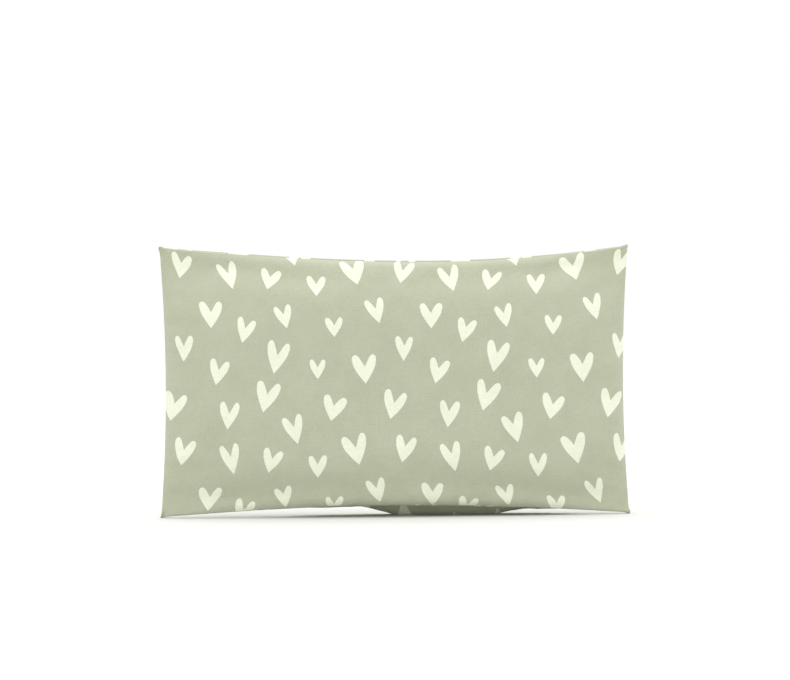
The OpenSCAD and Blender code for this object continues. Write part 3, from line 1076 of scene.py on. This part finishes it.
coverThread = threadMaterial("spunThreadSage", threadLook["cover"])
linerThread = threadMaterial("spunThreadNatural", threadLook["liner"])
low, high = -1, 1  # which long seam the opening is in
seams = (
    ("cover_seam_stitches", "cover_seam_thread", "cover_thread", coverThread,
     machineSeam(coverReaders[0], halfWidth, halfHeight, coverCloth, stitching["turningGap"], low)),
    ("hand_closing_stitches", "closing_stitches", "cover_thread", coverThread,
     [ladderSeam(coverReaders[0], halfWidth, halfHeight, coverCloth, stitching["turningGap"], low)]),
    ("liner_seam_stitches", "liner_seam_thread", "liner_thread", linerThread,
     machineSeam(linerReaders[0], linerHalfWidth, linerHalfHeight, linerCloth,
                 stitching["fillingGap"], high)),
    ("liner_gap_stitches", "liner_closing_stitches", "liner_thread", linerThread,
     [ladderSeam(linerReaders[0], linerHalfWidth, linerHalfHeight, linerCloth,
                 stitching["fillingGap"], high)]),
)
for name, node, slot, material, paths in seams:
    pieces[name] = (threadMesh(name, paths, material), [node], slot)
print("threads made")

seedThickness = filling["seedThickness"]
fillReaders = innerReaders(coverReaders, linerGap + filling["insideLiner"] + seedThickness, fillInset,
                           filling["edgeRound"], linerLowest + seedThickness, halfWidth, halfHeight)
pieces["flax_seed"] = (seedFill("flax_seed", fillReaders, halfWidth - fillInset, halfHeight - fillInset,
                                seedMaterial("flaxSeed")), ["seed_fill"], "seed")
print("filling made,", len(pieces["flax_seed"][0].data.polygons), "faces")

for piece, nodes, slot in pieces.values():
    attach(piece, "root")
    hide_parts(*nodes)

studio = {
    "floorSize": 6.0,
    "horizon": 0.7,       # brightness of the surroundings at the back, in front and straight above
    "front": 0.75,
    "above": 1.6,
    "overheadPower": 1.5,
    "overheadSize": 0.9,
    "overheadHeight": 1.2,
    "overheadLeft": 0.1,
    "paperDark": "#E5E5E3",
    "paperLight": "#E8E8E6",
}

floorMesh = bpy.data.meshes.new("floor")
halfFloor = studio["floorSize"] / 2
floorMesh.from_pydata([(-halfFloor, -halfFloor, 0), (halfFloor, -halfFloor, 0),
                       (halfFloor, halfFloor, 0), (-halfFloor, halfFloor, 0)], [], [(0, 1, 2, 3)])
floor = addObject("floor", floorMesh)
paper = bpy.data.materials.new("whitePaperSweep")
paper.use_nodes = True
paperShader = paper.node_tree.nodes["Principled BSDF"]
paperShader.inputs["Roughness"].default_value = 0.9
paperShader.inputs["Specular IOR Level"].default_value = 0.0
fibres = addNode(paper.node_tree, "TexNoise", inputs={"Scale": 3.0, "Detail": 2.0})
tone = addNode(paper.node_tree, "Mix", {"data_type": "RGBA"},
               {"Factor": fibres.outputs["Fac"], "A": hexColor(studio["paperDark"]),
                "B": hexColor(studio["paperLight"])})
paper.node_tree.links.new(tone.outputs["Result"], paperShader.inputs["Base Color"])
floorMesh.materials.append(paper)

world = bpy.data.worlds.new("studio")
bpy.context.scene.world = world
world.use_nodes = True
# a white tent, brightest overhead and dimmer behind the viewer; seen directly it is plain white
worldTree = world.node_tree
around = addNode(worldTree, "TexCoord")
direction = addNode(worldTree, "SeparateXYZ", inputs={"Vector": around.outputs["Generated"]})
level = addNode(worldTree, "MapRange", inputs={
    "Value": direction.outputs["Y"], "From Min": -0.6, "From Max": 0.6,
    "To Min": studio["front"], "To Max": studio["horizon"],
})
lit = addNode(worldTree, "MapRange", inputs={
    "Value": direction.outputs["Z"], "From Min": 0.1, "From Max": 0.9,
    "To Min": level.outputs[0], "To Max": studio["above"],
})
seen = addNode(worldTree, "LightPath")
strength = addNode(worldTree, "Mix", {"data_type": "FLOAT"},
                   {"Factor": seen.outputs["Is Camera Ray"], "A": lit.outputs[0], "B": 1.0})
backdrop = worldTree.nodes["Background"]
backdrop.inputs["Color"].default_value = (1, 1, 1, 1)
worldTree.links.new(strength.outputs["Result"], backdrop.inputs["Strength"])


def areaLight(name, place, aim, size, power):
    light = bpy.data.lights.new(name, "AREA")
    light.shape = "SQUARE"
    light.size = size
    light.energy = power
    lamp = addObject(name, light)
    lamp.location = place
    lamp.rotation_euler = (Vector(aim) - Vector(place)).to_track_quat("-Z", "Y").to_euler()
    return lamp


areaLight("overhead", (-studio["overheadLeft"], 0, studio["overheadHeight"]), (0, 0, 0),
          studio["overheadSize"], studio["overheadPower"])

view = {
    "distance": 1.0,
    "eyeHeight": 66.7 * mm,
    "turn": 2.8,    # degrees round to the left
    "roll": 0.4,
    "lens": 120.0,
}
camera = addObject("camera", bpy.data.cameras.new("camera"))
turn = math.radians(view["turn"])
camera.location = (-view["distance"] * math.sin(turn), -view["distance"] * math.cos(turn), view["eyeHeight"])
camera.rotation_euler = (math.radians(90), math.radians(view["roll"]), -turn)
camera.data.lens = view["lens"]
camera.data.clip_start = 0.01
bpy.context.scene.camera = camera
bpy.context.scene.view_settings.view_transform = "Standard"
print("stage set")
